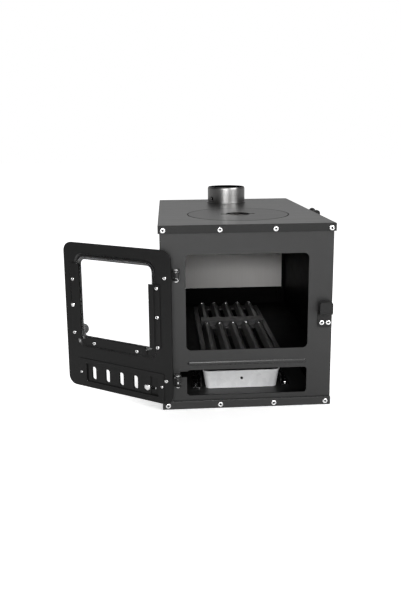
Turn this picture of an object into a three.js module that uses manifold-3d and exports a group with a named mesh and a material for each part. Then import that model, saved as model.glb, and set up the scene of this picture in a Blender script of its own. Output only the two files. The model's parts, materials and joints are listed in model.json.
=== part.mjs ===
// Portable steel wood stove with a glazed door, a bolted grate, an ash tray and a lift-off hob lid.
// Units are millimetres. X runs left to right, Y from front to back, Z up. The origin is the centre of
// the base's underside. The door stands open, folded back past the front left corner.
import * as THREE from 'three';
import { mergeVertices } from 'three/addons/utils/BufferGeometryUtils.js';
import Module from 'manifold-3d';

const wasm = await Module();
wasm.setup();

// Casing
const stoveWidth = 320;
const stoveDepth = 450;
const stoveHeight = 346;
const panSheet = 2.5;
const panelSheet = 2.5;
const sideSheet = 2;
const topLip = 15;
const baseLip = 16.5;
const sideFlange = 18;
const clearance = 0.3;
const overrun = 2;

// Front panel: each opening's side is its distance from the casing's side, and its sill the lower edge
const fireMouth = { side: 48, sill: 113.3, web: 54.2, corner: 9 };
const ashMouth = { side: 48.3, sill: 26, height: 49.8, corner: 5.5 };
const hingeNotch = { width: 12.5, height: 11.2, sill: 62.3 };
const bead = { side: 49, height: 10, rise: 2.2, sill: 83.5, draft: 2.4, endShare: 0.46 };

// Top: lid, its seat and the flue collar
const lid = { radius: 100.8, groove: 1.2, setback: 149, hole: 23.5, slotReach: 34, slotWidth: 9, slotTip: 5 };
const seat = { lap: 8, width: 20, sheet: 2.5 };
const collar = { radius: 44, wall: 2, height: 37, setback: 69.5, spigot: 10, foot: 1.6, footHeight: 1.8 };
const collarRim = { draw: 1.6, height: 4 };
const collarBolt = { radius: 4, rise: 10.5, turn: 215 };

// Edge screws
const screw = { head: 5, rise: 2.5, crown: 3.4, shank: 2, length: 5, socket: 2.1, socketDepth: 1.6 };
const topScrews = { side: 9, inner: 50, drop: 9 };
const baseScrews = { side: 13, inner: 50, rise: 8.5 };

// Firebox
const hearth = { top: 76, sheet: 2.5, flange: 14, lap: 8 };
const grate = { halfWidth: 80, frontRoom: 34.7, rearRoom: 33, rail: 10, thick: 3.7 };
const crossbar = { front: 17, rear: 27, mid: 53, reach: 194, ridgeInset: 14, ridgeDepth: 29, ridgeRise: 12 };
const bar = { count: 5, pitch: 29.3, width: 21, crown: 7, rise: 10, sheet: 2.5, endGap: 2 };
const liner = { side: 6.9, rise: 43.5, sheet: 2, stand: 2.5, topGap: 6 };

// Ash tray and its guides
const tray = { frontRoom: 74.7, rearRoom: 42.1, floorHalf: 71.5, height: 38, flare: 5.2, wall: 1.2 };
const trayRim = { width: 1.2, thick: 1.2, corner: 10 };
const trayHole = { radius: 3, rise: 21 };
const guide = { gap: 1.9, sheet: 2, height: 23, foot: 18.7, inset: 8, overhang: 5 };

// Door, in its own frame: x from the hinge axis to the free edge, y from the axis towards the stove
const hinge = { side: 31.3, standoff: 15.5, cornerGap: 0.7074 };
const door = { far: 41.5, drop: 42.5, bottom: 14.5, sheet: 2.5, corner: 18, edge: 7.2, outer: 4.5 };
const pane = { near: 40.5, far: 39.2, below: 105.1, above: 31.5, corner: 10 };
const dish = { side: 8.2, far: 13, below: 22.3, above: 11.2, corner: 17, depth: 3, slope: 2.6, spread: 1.3 };
const glass = { thick: 4, lapNear: 4.6, lapFar: 7.2, lapBelow: 6.4, lapAbove: 5.6 };
const gasket = { thick: 1, width: 4 };
const strip = { sheet: 1.5 };
const nearStrip = { bottomInset: 1.2, topInset: 31.5, foot: 13, lip: 9.4 };
const farStrip = { overhang: 5.6, topInset: 8, foot: 16, lip: 6.5 };
const lowStrip = { nearInset: 14.3, farInset: 8, foot: 11.4, lip: 7 };

// Air control in the lower part of the door
const recess = { near: 27.8, far: 39.2, below: 8, height: 46.5, corner: 5, depth: 3, slope: 2.5 };
const slot = { nearRoom: 53.8, farRoom: 20, pitch: 32.4, width: 10, height: 26.5, rise: 9.3, endShare: 0.96 };
const slide = { near: 20.2, far: 9, sheet: 1.5, travel: 14 };
const airKnob = { inset: 6.7, height: 18.5, head: 6, rise: 3, stem: 3, reach: 9, grip: 8 };
const slideFrame = { near: 10.7, far: 11.5, lap: 2, border: 9, endLap: 5, sheet: 1, corner: 4 };

// Hinges
const knuckle = { radius: 5, neck: 8.5, leafLength: 29, leafHalf: 11, leafSheet: 2, inset: 2.4 };
const bracket = { height: 18.5, lowRise: 46.8, highDrop: 45, halfWidth: 6.5, sheet: 2 };
const pin = { radius: 2.5, head: 3.9, headHeight: 1.8, play: 0.3 };

// Latch
const spindle = { far: 20.1, rise: 166.2, radius: 4, outerReach: 7.7, nut: 4.4, nutHeight: 3 };
const tongue = { reach: 50, width: 10, sheet: 2.5, eye: 5.6, shutSlope: 15.5, endShare: 0.98 };
const lever = { radius: 3.5, up: 45.5, down: 58, pegReach: 24.5 };
const ballKnob = { radius: 11, reach: 24.5, flat: 2.2, socket: 8 };
const keeper = { side: 18, halfWidth: 12, play: 1.2, bend: 4.5, below: 31.4, above: 21.5, sheet: 2.5 };
const keeperScrews = { rise: 9.9, left: 5.2, right: 6.8 };

// Short lifting handle on the right side
const sideHandle = { setback: 194, length: 39, radius: 4, drop: 6.5, standoff: 13, end: 5.5, overhang: 2 };
const sideBracket = { width: 10, sheet: 3, foot: 26, below: 13.5, arm: 8, eye: 6 };

// Places worked out from the sizes above
const bodyHalf = stoveWidth / 2 - panSheet - clearance;
const frontLipFace = -stoveDepth / 2;
const frontFace = frontLipFace + panSheet + clearance;
const frontBack = frontFace + panelSheet;
const sideEnd = -frontBack - clearance;
const innerHalf = bodyHalf - sideSheet - clearance;
const plateUnder = stoveHeight - panSheet;
const bodyTop = plateUnder - clearance;
const bodyBottom = panSheet + clearance;
const roomEnd = sideEnd - sideSheet - clearance;
const lidCentre = frontLipFace + lid.setback;
const collarCentre = stoveDepth / 2 - collar.setback;
const fireHalf = stoveWidth / 2 - fireMouth.side;
const fireTop = stoveHeight - fireMouth.web;
const ashHalf = stoveWidth / 2 - ashMouth.side;
const grateFront = frontBack + grate.frontRoom;
const grateRear = roomEnd - grate.rearRoom;
const midFront = grateFront + crossbar.reach;
const ridgeFront = midFront + crossbar.ridgeInset;
const ridgeRear = ridgeFront + crossbar.ridgeDepth;
const trayFront = frontBack + tray.frontRoom;
const trayRear = roomEnd - tray.rearRoom;
const hingeX = hinge.side - stoveWidth / 2;
const hingeY = frontFace - hinge.standoff;
const doorInner = door.outer + door.sheet;
const doorFar = stoveWidth / 2 - door.far - hingeX;
const doorTop = stoveHeight - door.drop;
const paneLeft = door.edge + pane.near;
const paneRight = doorFar - pane.far;
const paneBottom = door.bottom + pane.below;
const paneTop = doorTop - pane.above;
const recessLeft = door.edge + recess.near;
const recessRight = doorFar - recess.far;
const recessBottom = door.bottom + recess.below;
const recessTop = recessBottom + recess.height;
const slotFirst = recessLeft + slot.nearRoom;
const slotCount = 1 + Math.floor((recessRight - slot.farRoom - slotFirst) / slot.pitch);
const slideLeft = recessLeft + slide.near;
const slideRight = recessRight - slide.far;
const airKnobX = slideLeft + airKnob.inset;
const airKnobZ = recessBottom + airKnob.height;
const spindleX = doorFar - spindle.far;
const spindleZ = door.bottom + spindle.rise;
const keeperX = stoveWidth / 2 - keeper.side;
const shutSlope = tongue.shutSlope * Math.PI / 180;
const keeperReach = keeperX - keeper.halfWidth - hingeX - spindleX;
const tongueUnder = keeperReach * Math.tan(shutSlope) - tongue.width / 2 / Math.cos(shutSlope);
const pocketZ = spindleZ + tongueUnder - keeper.play;

// The open door's outer face stands just clear of the base pan's front left corner
const cornerAcross = bodyHalf + hingeX;
const cornerBehind = frontLipFace - hingeY;
const openAngle = Math.PI + Math.atan2(cornerBehind, cornerAcross)
  + Math.asin((door.outer - hinge.cornerGap) / Math.hypot(cornerAcross, cornerBehind));

const arcSteps = 6;
const roundSteps = 64;
const pinSteps = 16;

const blackPaint = { color: 0x2e2f30, roughness: 0.55, metalness: 0.3 };
const bareBlack = { color: 0x161616, roughness: 0.7, metalness: 0.4 };
const clearGlass = { color: 0xe8eef0, roughness: 0.05, transparent: true, opacity: 0.25 };
const finishes = {
  casing: new THREE.MeshStandardMaterial(blackPaint),
  plate: new THREE.MeshStandardMaterial({ color: 0x3a3b3c, roughness: 0.5, metalness: 0.3 }),
  iron: new THREE.MeshStandardMaterial(bareBlack),
  liner: new THREE.MeshStandardMaterial({ color: 0x8a8a86, roughness: 0.6, metalness: 0.5 }),
  zinc: new THREE.MeshStandardMaterial({ color: 0xd0d2d4, roughness: 0.35, metalness: 0.8 }),
  steel: new THREE.MeshStandardMaterial({ color: 0xcfd0d0, roughness: 0.2, metalness: 0.9 }),
  collar: new THREE.MeshStandardMaterial({ color: 0x77787a, roughness: 0.3, metalness: 0.8 }),
  glass: new THREE.MeshStandardMaterial(clearGlass),
  gasket: new THREE.MeshStandardMaterial({ color: 0x3b3b39, roughness: 0.95 }),
  knob: new THREE.MeshStandardMaterial({ color: 0x1a1a1b, roughness: 0.3, metalness: 0.2 }),
};

function toSolid(geometry) {
  const bare = geometry.clone();
  bare.deleteAttribute('normal');
  bare.deleteAttribute('uv');
  const merged = mergeVertices(bare);
  const vertProperties = new Float32Array(merged.attributes.position.array);
  const triVerts = new Uint32Array(merged.index.array);
  return new wasm.Manifold(new wasm.Mesh({ numProp: 3, vertProperties, triVerts }));
}

function toGeometry(solid) {
  const mesh = solid.getMesh();
  const places = new Float32Array(mesh.vertProperties);
  const corners = new Uint32Array(mesh.triVerts);
  const geometry = new THREE.BufferGeometry();
  geometry.setAttribute('position', new THREE.BufferAttribute(places, 3));
  geometry.setIndex(new THREE.BufferAttribute(corners, 1));
  const faceted = geometry.toNonIndexed();
  faceted.computeVertexNormals();
  return faceted;
}

// The blanks joined into one body, with the tools cut away from it
function formed(blanks, tools = []) {
  let body = toSolid(blanks[0]);
  for (const blank of blanks.slice(1)) body = body.add(toSolid(blank));
  for (const tool of tools) body = body.subtract(toSolid(tool));
  return toGeometry(body);
}

function block(x0, x1, y0, y1, z0, z1) {
  const geometry = new THREE.BoxGeometry(x1 - x0, y1 - y0, z1 - z0);
  return geometry.translate((x0 + x1) / 2, (y0 + y1) / 2, (z0 + z1) / 2);
}

function roundedRect(u0, u1, v0, v1, radius) {
  const quarter = Math.PI / 2;
  const shape = new THREE.Shape();
  shape.absarc(u1 - radius, v0 + radius, radius, -quarter, 0);
  shape.absarc(u1 - radius, v1 - radius, radius, 0, quarter);
  shape.absarc(u0 + radius, v1 - radius, radius, quarter, Math.PI);
  shape.absarc(u0 + radius, v0 + radius, radius, Math.PI, Math.PI + quarter);
  shape.closePath();
  return shape;
}

function outline(points) {
  return new THREE.Shape(points.map(([u, v]) => new THREE.Vector2(u, v)));
}

function extruded(shape, depth) {
  return new THREE.ExtrudeGeometry(shape, { depth, bevelEnabled: false, curveSegments: arcSteps });
}

// A rounded block whose far end is drawn in on every side, or let out where inset is negative
function draftedBlock(u0, u1, v0, v1, radius, depth, inset) {
  const geometry = extruded(roundedRect(u0, u1, v0, v1, radius), depth);
  const place = geometry.attributes.position;
  for (let i = 0; i < place.count; i++) {
    if (place.getZ(i) < depth / 2) continue;
    const u = place.getX(i);
    const v = place.getY(i);
    place.setX(i, u - Math.sign(u - (u0 + u1) / 2) * inset);
    place.setY(i, v - Math.sign(v - (v0 + v1) / 2) * inset);
  }
  return geometry;
}

// Stands a shape drawn in x and z upright, its depth running forward from y to lower y
function standing(geometry, y) {
  return geometry.rotateX(Math.PI / 2).translate(0, y, 0);
}

// Turns a shape drawn in y and z so that its depth runs along +X from x
function sideways(geometry, x) {
  const turn = new THREE.Matrix4().makeBasis(
    new THREE.Vector3(0, 1, 0), new THREE.Vector3(0, 0, 1), new THREE.Vector3(1, 0, 0));
  return geometry.applyMatrix4(turn).translate(x, 0, 0);
}

function turned(points, steps) {
  const profile = points.map(([radius, height]) => new THREE.Vector2(radius, height));
  return new THREE.LatheGeometry(profile, steps);
}

// A turned piece with its axis upright
function turnedUp(points, steps = roundSteps) {
  return turned(points, steps).rotateX(Math.PI / 2);
}

function rodUp(radius, z0, z1, steps = pinSteps) {
  const geometry = new THREE.CylinderGeometry(radius, radius, z1 - z0, steps);
  return geometry.rotateX(Math.PI / 2).translate(0, 0, (z0 + z1) / 2);
}

function rodAlongY(radius, y0, y1, steps = pinSteps) {
  return new THREE.CylinderGeometry(radius, radius, y1 - y0, steps).translate(0, (y0 + y1) / 2, 0);
}

function piece(name, geometry, material, parent) {
  const mesh = new THREE.Mesh(geometry, material);
  mesh.name = name;
  parent.add(mesh);
  return mesh;
}

function screwPlaces() {
  const places = [];
  const topOuter = stoveWidth / 2 - topScrews.side;
  const baseOuter = stoveWidth / 2 - baseScrews.side;
  for (const x of [-topOuter, -topScrews.inner, topScrews.inner, topOuter]) {
    places.push({ name: 'top_screw', x, z: stoveHeight - topScrews.drop });
  }
  for (const x of [-baseOuter, -baseScrews.inner, baseScrews.inner, baseOuter]) {
    places.push({ name: 'base_screw', x, z: baseScrews.rise });
  }
  return places;
}

// The screws at the two ends of the top pan's rear lip
function backScrewPlaces() {
  const outer = stoveWidth / 2 - topScrews.side;
  return [-outer, outer].map((x) => ({ x, z: stoveHeight - topScrews.drop }));
}

function backScrewHoles() {
  return backScrewPlaces().map((p) => screwHole(p.x, p.z).rotateZ(Math.PI));
}

function keeperScrewPlaces() {
  const z = pocketZ - keeper.below + keeperScrews.rise;
  return [keeperX - keeperScrews.left, keeperX + keeperScrews.right].map((x) => ({ x, z }));
}

function screwHole(x, z) {
  const hole = rodAlongY(screw.shank + clearance, frontLipFace - overrun, frontBack + overrun);
  return hole.translate(x, 0, z);
}

function screwGeometry() {
  return turned([
    [0, -screw.length],
    [screw.shank, -screw.length],
    [screw.shank, clearance],
    [screw.head, clearance],
    [screw.crown, screw.rise],
    [screw.socket, screw.rise],
    [screw.socket, screw.rise - screw.socketDepth],
    [0, screw.rise - screw.socketDepth],
  ], pinSteps).rotateX(Math.PI);
}

// Casing

function makeBasePan(parent) {
  const half = stoveDepth / 2;
  const wallEnd = roomEnd;
  const blanks = [
    block(-bodyHalf, bodyHalf, -half, half, 0, panSheet),
    block(-bodyHalf, bodyHalf, -half, -half + panSheet, 0, baseLip),
    block(-bodyHalf, bodyHalf, half - panSheet, half, 0, baseLip),
    block(-innerHalf, panSheet - innerHalf, -wallEnd, wallEnd, 0, baseLip),
    block(innerHalf - panSheet, innerHalf, -wallEnd, wallEnd, 0, baseLip),
  ];
  const holes = screwPlaces().filter((p) => p.name === 'base_screw').map((p) => screwHole(p.x, p.z));
  piece('base_pan', formed(blanks, holes), finishes.casing, parent);
}

function makeTopPan(parent) {
  const outerX = stoveWidth / 2;
  const outerY = stoveDepth / 2;
  const shell = block(-outerX, outerX, -outerY, outerY, stoveHeight - topLip, stoveHeight);
  const inside = block(panSheet - outerX, outerX - panSheet, panSheet - outerY, outerY - panSheet,
    stoveHeight - topLip - overrun, plateUnder);
  const lidHole = rodUp(lid.radius + lid.groove, plateUnder - overrun, stoveHeight + overrun, roundSteps);
  const flueHole = rodUp(collar.radius + clearance, plateUnder - overrun, stoveHeight + overrun, roundSteps);
  lidHole.translate(0, lidCentre, 0);
  flueHole.translate(0, collarCentre, 0);
  const holes = screwPlaces().filter((p) => p.name === 'top_screw').map((p) => screwHole(p.x, p.z));
  const tools = [inside, lidHole, flueHole, ...holes, ...backScrewHoles()];
  piece('top_pan', formed([shell], tools), finishes.plate, parent);
}

function makeSide(parent, name, side) {
  const inner = bodyHalf - sideSheet;
  const flangeTip = bodyHalf - sideFlange;
  const flangeBack = sideEnd - sideSheet;
  const profile = outline([
    [bodyHalf, -sideEnd], [bodyHalf, sideEnd], [flangeTip, sideEnd], [flangeTip, flangeBack],
    [inner, flangeBack], [inner, -flangeBack], [flangeTip, -flangeBack], [flangeTip, -sideEnd],
  ]);
  const mesh = piece(name, extruded(profile, bodyTop - bodyBottom), finishes.casing, parent);
  mesh.position.z = bodyBottom;
  if (side < 0) mesh.rotation.z = Math.PI;
}

function makeFrontPanel(parent) {
  const sheet = block(-bodyHalf, bodyHalf, frontFace, frontBack, bodyBottom, bodyTop);
  const depth = panelSheet + overrun + overrun;
  const cutFrom = frontBack + overrun;
  const beadHalf = stoveWidth / 2 - bead.side;
  const beadTop = bead.sill + bead.height;
  const fire = extruded(roundedRect(-fireHalf, fireHalf, fireMouth.sill, fireTop, fireMouth.corner), depth);
  const ash = extruded(roundedRect(-ashHalf, ashHalf, ashMouth.sill, ashMouth.sill + ashMouth.height,
    ashMouth.corner), depth);
  const notch = block(-ashHalf - hingeNotch.width, -ashHalf + overrun, frontFace - overrun, cutFrom,
    hingeNotch.sill, hingeNotch.sill + hingeNotch.height);
  const ridge = draftedBlock(-beadHalf, beadHalf, bead.sill, beadTop, bead.height * bead.endShare,
    panelSheet / 2 + bead.rise, bead.draft);
  const furrow = draftedBlock(-beadHalf, beadHalf, bead.sill, beadTop, bead.height * bead.endShare,
    bead.rise + clearance, bead.draft);
  const holes = screwPlaces().map((p) => screwHole(p.x, p.z));
  const keeperHoles = keeperScrewPlaces().map((p) => screwHole(p.x, p.z));
  const tools = [standing(fire, cutFrom), standing(ash, cutFrom), notch,
    standing(furrow, frontBack + clearance), ...holes, ...keeperHoles];
  const blanks = [sheet, standing(ridge, frontFace + panelSheet / 2)];
  piece('front_panel', formed(blanks, tools), finishes.casing, parent);
}

function makeBackPanel(parent) {
  const plate = block(-bodyHalf, bodyHalf, -frontBack, -frontFace, bodyBottom, bodyTop);
  piece('back_panel', formed([plate], backScrewHoles()), finishes.casing, parent);
}

// Top

function makeSeatRing(parent) {
  const inner = lid.radius - seat.lap;
  const outer = inner + seat.width;
  const ring = turnedUp([
    [inner, -seat.sheet], [outer, -seat.sheet], [outer, 0], [inner, 0], [inner, -seat.sheet],
  ]);
  piece('lid_seat_ring', ring, finishes.casing, parent).position.set(0, lidCentre, bodyTop);
}

function makeLid(parent) {
  const disc = rodUp(lid.radius, 0, panSheet, roundSteps);
  const bore = rodUp(lid.hole, -overrun, panSheet + overrun, roundSteps);
  const root = lid.slotWidth / 2;
  const tip = lid.slotTip / 2;
  const slot = extruded(outline([
    [0, -root], [lid.slotReach, -tip], [lid.slotReach, tip], [0, root],
    [-lid.slotReach, tip], [-lid.slotReach, -tip],
  ]), panSheet + overrun + overrun).translate(0, 0, -overrun);
  const mesh = piece('hob_lid', formed([disc], [bore, slot]), finishes.plate, parent);
  mesh.position.set(0, lidCentre, plateUnder);
}

function makeCollar(parent) {
  const inner = collar.radius - collar.wall;
  const rim = inner - collarRim.draw;
  const tube = turnedUp([
    [inner, -collar.spigot],
    [collar.radius, -collar.spigot],
    [collar.radius, clearance],
    [collar.radius + collar.foot, clearance],
    [collar.radius + collar.foot, collar.footHeight],
    [collar.radius, collar.footHeight],
    [collar.radius, collar.height - collarRim.height],
    [collar.radius - collarRim.draw, collar.height],
    [rim, collar.height],
    [inner, collar.height - collarRim.height],
    [inner, -collar.spigot],
  ]);
  const bolt = rodAlongY(collarBolt.radius, -collar.radius - overrun, 0)
    .translate(0, 0, collarBolt.rise)
    .rotateZ(THREE.MathUtils.degToRad(collarBolt.turn) + Math.PI / 2);
  const mesh = piece('flue_collar', formed([tube], [bolt]), finishes.collar, parent);
  mesh.position.set(0, collarCentre, stoveHeight);
}

// Firebox

function makeLiner(parent) {
  const back = roomEnd;
  const face = back - liner.stand;
  const top = bodyTop - liner.topGap;
  const bottom = hearth.top + liner.rise;
  const half = innerHalf - liner.side;
  const blanks = [
    block(-half, half, face - liner.sheet, face, bottom, top),
    block(-half, liner.sheet - half, face - liner.sheet, back, bottom, top),
    block(half - liner.sheet, half, face - liner.sheet, back, bottom, top),
  ];
  piece('rear_liner', formed(blanks), finishes.liner, parent);
}

function makeHearth(parent) {
  const under = hearth.top - hearth.sheet;
  const skirt = hearth.top - hearth.flange;
  const blanks = [
    block(-innerHalf, innerHalf, -roomEnd, roomEnd, under, hearth.top),
    block(-innerHalf, hearth.sheet - innerHalf, -roomEnd, roomEnd, skirt, hearth.top),
    block(innerHalf - hearth.sheet, innerHalf, -roomEnd, roomEnd, skirt, hearth.top),
  ];
  const half = grate.halfWidth - hearth.lap;
  const well = block(-half, half, grateFront + hearth.lap, grateRear - hearth.lap,
    under - overrun, hearth.top + overrun);
  piece('hearth_plate', formed(blanks, [well]), finishes.iron, parent);
}

function makeGrateFrame(parent) {
  const z0 = hearth.top + clearance;
  const z1 = z0 + grate.thick;
  const inner = grate.halfWidth - grate.rail;
  const midRear = midFront + crossbar.mid;
  const plate = block(-grate.halfWidth, grate.halfWidth, grateFront, grateRear, z0, z1);
  const ridge = block(-inner, inner, ridgeFront, ridgeRear, z0, z1 + crossbar.ridgeRise);
  const frontGap = block(-inner, inner, grateFront + crossbar.front, midFront, z0 - overrun, z1 + overrun);
  const rearGap = block(-inner, inner, midRear, grateRear - crossbar.rear, z0 - overrun, z1 + overrun);
  piece('grate_frame', formed([plate, ridge], [frontGap, rearGap]), finishes.iron, parent);
}

function makeGrateBars(parent) {
  const foot = hearth.top + clearance + grate.thick + clearance;
  const half = bar.width / 2;
  const crown = bar.crown / 2;
  const flat = bar.sheet;
  const banks = [
    { name: 'front', y0: grateFront + bar.endGap, y1: ridgeFront - bar.endGap },
    { name: 'rear', y0: ridgeRear + bar.endGap, y1: grateRear - bar.endGap },
  ];
  const profile = outline([
    [-half, 0], [-half + flat, 0], [-crown, bar.rise - flat], [crown, bar.rise - flat], [half - flat, 0],
    [half, 0], [half, flat / 2], [crown, bar.rise], [-crown, bar.rise], [-half, flat / 2],
  ]);
  for (const bank of banks) {
    for (let i = 0; i < bar.count; i++) {
      const x = (i - (bar.count - 1) / 2) * bar.pitch;
      const geometry = standing(extruded(profile, bank.y1 - bank.y0), bank.y1);
      const mesh = piece(`grate_bar_${bank.name}_${i + 1}`, geometry, finishes.iron, parent);
      mesh.position.set(x, 0, foot);
    }
  }
}

// Ash tray

function makeTray(parent) {
  const floor = panSheet + clearance;
  const outerFront = trayFront + tray.flare;
  const outerRear = trayRear - tray.flare;
  const outside = draftedBlock(-tray.floorHalf, tray.floorHalf, outerFront, outerRear,
    trayRim.corner, tray.height, -tray.flare).translate(0, 0, floor);
  const inset = tray.wall;
  const inside = draftedBlock(-tray.floorHalf + inset, tray.floorHalf - inset, outerFront + inset,
    outerRear - inset, trayRim.corner - inset, tray.height, -tray.flare).translate(0, 0, floor + tray.wall);
  const rimHalf = tray.floorHalf + tray.flare + trayRim.width;
  const rim = extruded(roundedRect(-rimHalf, rimHalf, trayFront - trayRim.width, trayRear + trayRim.width,
    trayRim.corner + trayRim.width), trayRim.thick).translate(0, 0, floor + tray.height - trayRim.thick);
  const hole = rodAlongY(trayHole.radius, trayFront - overrun, trayFront + tray.flare + overrun);
  const tools = [inside, hole.translate(0, 0, floor + trayHole.rise)];
  piece('ash_drawer', formed([outside, rim], tools), finishes.zinc, parent);
}

function makeGuide(parent, name, side) {
  const inner = tray.floorHalf + tray.flare + trayRim.width + guide.gap;
  const profile = outline([
    [inner, 0], [inner + guide.foot, 0], [inner + guide.foot, guide.sheet],
    [inner + guide.sheet, guide.sheet], [inner + guide.sheet, guide.height], [inner, guide.height],
  ]);
  const front = trayFront + guide.inset;
  const length = trayRear + guide.overhang - front;
  const mesh = piece(name, standing(extruded(profile, length), length / 2), finishes.iron, parent);
  mesh.position.set(0, front + length / 2, panSheet + clearance);
  if (side < 0) mesh.rotation.z = Math.PI;
}

// Door

const dishLeft = paneLeft - dish.side;
const dishRight = paneRight + dish.far;
const dishBottom = paneBottom - dish.below;
const dishTop = paneTop + dish.above;
const dishFloor = doorInner - dish.depth;
const glassBack = dishFloor + clearance + gasket.thick + clearance;
const lipSeat = glassBack + glass.thick + clearance;
const glassLeft = paneLeft - glass.lapNear;
const glassRight = paneRight + glass.lapFar;
const glassBottom = paneBottom - glass.lapBelow;
const glassTop = paneTop + glass.lapAbove;

// A pressed field of the door: the blank that stands proud outside, and the hollow inside it
function pressing(left, right, bottom, top, corner, depth, slope) {
  const spread = dish.spread;
  const middle = door.outer + door.sheet / 2;
  const boss = draftedBlock(left - spread, right + spread, bottom - spread, top + spread, corner + spread,
    door.sheet / 2 + depth, slope);
  const hollow = draftedBlock(left, right, bottom, top, corner, depth, slope);
  const mouth = extruded(roundedRect(left, right, bottom, top, corner), overrun);
  return {
    boss: standing(boss, middle),
    hollow: standing(hollow, doorInner),
    mouth: standing(mouth, doorInner + overrun),
  };
}

function slotShapes(y, depth) {
  const shapes = [];
  const half = slot.width / 2;
  const bottom = recessBottom + slot.rise;
  for (let i = 0; i < slotCount; i++) {
    const x = slotFirst + i * slot.pitch;
    const shape = roundedRect(x - half, x + half, bottom, bottom + slot.height, half * slot.endShare);
    shapes.push(standing(extruded(shape, depth), y));
  }
  return shapes;
}

function makeDoorPlate(parent) {
  const sheet = standing(extruded(roundedRect(door.edge, doorFar, door.bottom, doorTop, door.corner),
    door.sheet), doorInner);
  const wide = pressing(dishLeft, dishRight, dishBottom, dishTop, dish.corner, dish.depth, dish.slope);
  const low = pressing(recessLeft, recessRight, recessBottom, recessTop, recess.corner, recess.depth,
    recess.slope);
  const through = doorInner + overrun;
  const depth = door.sheet + dish.depth + overrun + overrun;
  const window = standing(extruded(roundedRect(paneLeft, paneRight, paneBottom, paneTop, pane.corner),
    depth), through);
  const spindleHole = rodAlongY(spindle.radius + clearance, door.outer - overrun, through);
  const travelHalf = airKnob.stem + clearance;
  const travel = roundedRect(airKnobX - slide.travel - travelHalf, airKnobX + travelHalf,
    airKnobZ - travelHalf, airKnobZ + travelHalf, travelHalf);
  const travelSlot = standing(extruded(travel, depth), through);
  const tools = [wide.hollow, wide.mouth, low.hollow, low.mouth, window, travelSlot,
    spindleHole.translate(spindleX, 0, spindleZ), ...slotShapes(through, depth)];
  piece('door_plate', formed([sheet, wide.boss, low.boss], tools), finishes.casing, parent);
}

function makeGlass(parent) {
  const shape = roundedRect(glassLeft, glassRight, glassBottom, glassTop, dish.corner);
  const sheet = standing(extruded(shape, glass.thick), glassBack + glass.thick);
  piece('door_glass', sheet, finishes.glass, parent);
  const back = dishFloor + clearance;
  const outer = standing(extruded(shape, gasket.thick), back + gasket.thick);
  const w = gasket.width;
  const hole = roundedRect(glassLeft + w, glassRight - w, glassBottom + w, glassTop - w,
    dish.corner - w);
  const inner = standing(extruded(hole, gasket.thick + overrun + overrun), back + gasket.thick + overrun);
  piece('glass_gasket', formed([outer], [inner]), finishes.gasket, parent);
}

// A glass retainer: foot on the sheet, riser beside the glass, lip over its edge
function stripProfile(rise, edge, foot, lip, way) {
  const t = strip.sheet;
  const footEnd = edge - way * foot;
  const riser = edge - way * t;
  const lipEnd = edge + way * lip;
  return [
    [footEnd, 0], [edge, 0], [edge, rise], [lipEnd, rise], [lipEnd, rise + t], [riser, rise + t],
    [riser, t], [footEnd, t],
  ];
}

function makeStrips(parent) {
  const foot = doorInner + clearance;
  const rise = lipSeat - foot;
  const near = outline(stripProfile(rise, glassLeft - clearance, nearStrip.foot, nearStrip.lip, 1));
  const nearBottom = paneBottom + nearStrip.bottomInset;
  const nearLength = paneTop - nearStrip.topInset - nearBottom;
  const nearMesh = piece('glass_strip_near', extruded(near, nearLength), finishes.casing, parent);
  nearMesh.position.set(0, foot, nearBottom);
  const far = outline(stripProfile(rise, glassRight + clearance, farStrip.foot, farStrip.lip, -1));
  const farBottom = paneBottom - farStrip.overhang;
  const farLength = paneTop - farStrip.topInset - farBottom;
  const bore = rodAlongY(spindle.radius + clearance, -overrun, strip.sheet + overrun);
  bore.translate(spindleX, 0, spindleZ - farBottom);
  const farBody = formed([extruded(far, farLength)], [bore]);
  const farMesh = piece('glass_strip_far', farBody, finishes.casing, parent);
  farMesh.position.set(0, foot, farBottom);
  const lowFoot = dishFloor + clearance;
  const lowPoints = stripProfile(lipSeat - lowFoot, 0, lowStrip.foot, lowStrip.lip, 1);
  const low = outline(lowPoints.map(([u, v]) => [v, u]));
  const lowNear = paneLeft + lowStrip.nearInset;
  const lowLength = paneRight - lowStrip.farInset - lowNear;
  const lowMesh = piece('glass_strip_low', sideways(extruded(low, lowLength), 0), finishes.casing, parent);
  lowMesh.position.set(lowNear, lowFoot, glassBottom - clearance);
}

function makeAirSlide(parent) {
  const floor = doorInner - recess.depth;
  const back = floor + clearance;
  const z0 = recessBottom + recess.slope + clearance;
  const z1 = recessTop - recess.slope - clearance;
  const plate = block(slideLeft, slideRight, back, back + slide.sheet, z0, z1);
  const boss = airKnob.stem + clearance;
  const hole = rodAlongY(boss, back - overrun, back + slide.sheet + overrun).translate(airKnobX, 0, airKnobZ);
  const cuts = slotShapes(back + slide.sheet + overrun, slide.sheet + overrun + overrun);
  piece('air_slide', formed([plate], [hole, ...cuts]), finishes.casing, parent);
  const face = back + slide.sheet + clearance;
  const gripStart = floor - door.sheet - clearance;
  const knob = turned([
    [0, gripStart - airKnob.reach],
    [airKnob.grip, gripStart - airKnob.reach],
    [airKnob.grip, gripStart],
    [airKnob.stem, gripStart],
    [airKnob.stem, face],
    [airKnob.head, face],
    [airKnob.head, face + airKnob.rise / 2],
    [airKnob.head / 2, face + airKnob.rise],
    [0, face + airKnob.rise],
  ], pinSteps + pinSteps);
  piece('air_knob', knob, finishes.steel, parent).position.set(airKnobX, 0, airKnobZ);
}

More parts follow.
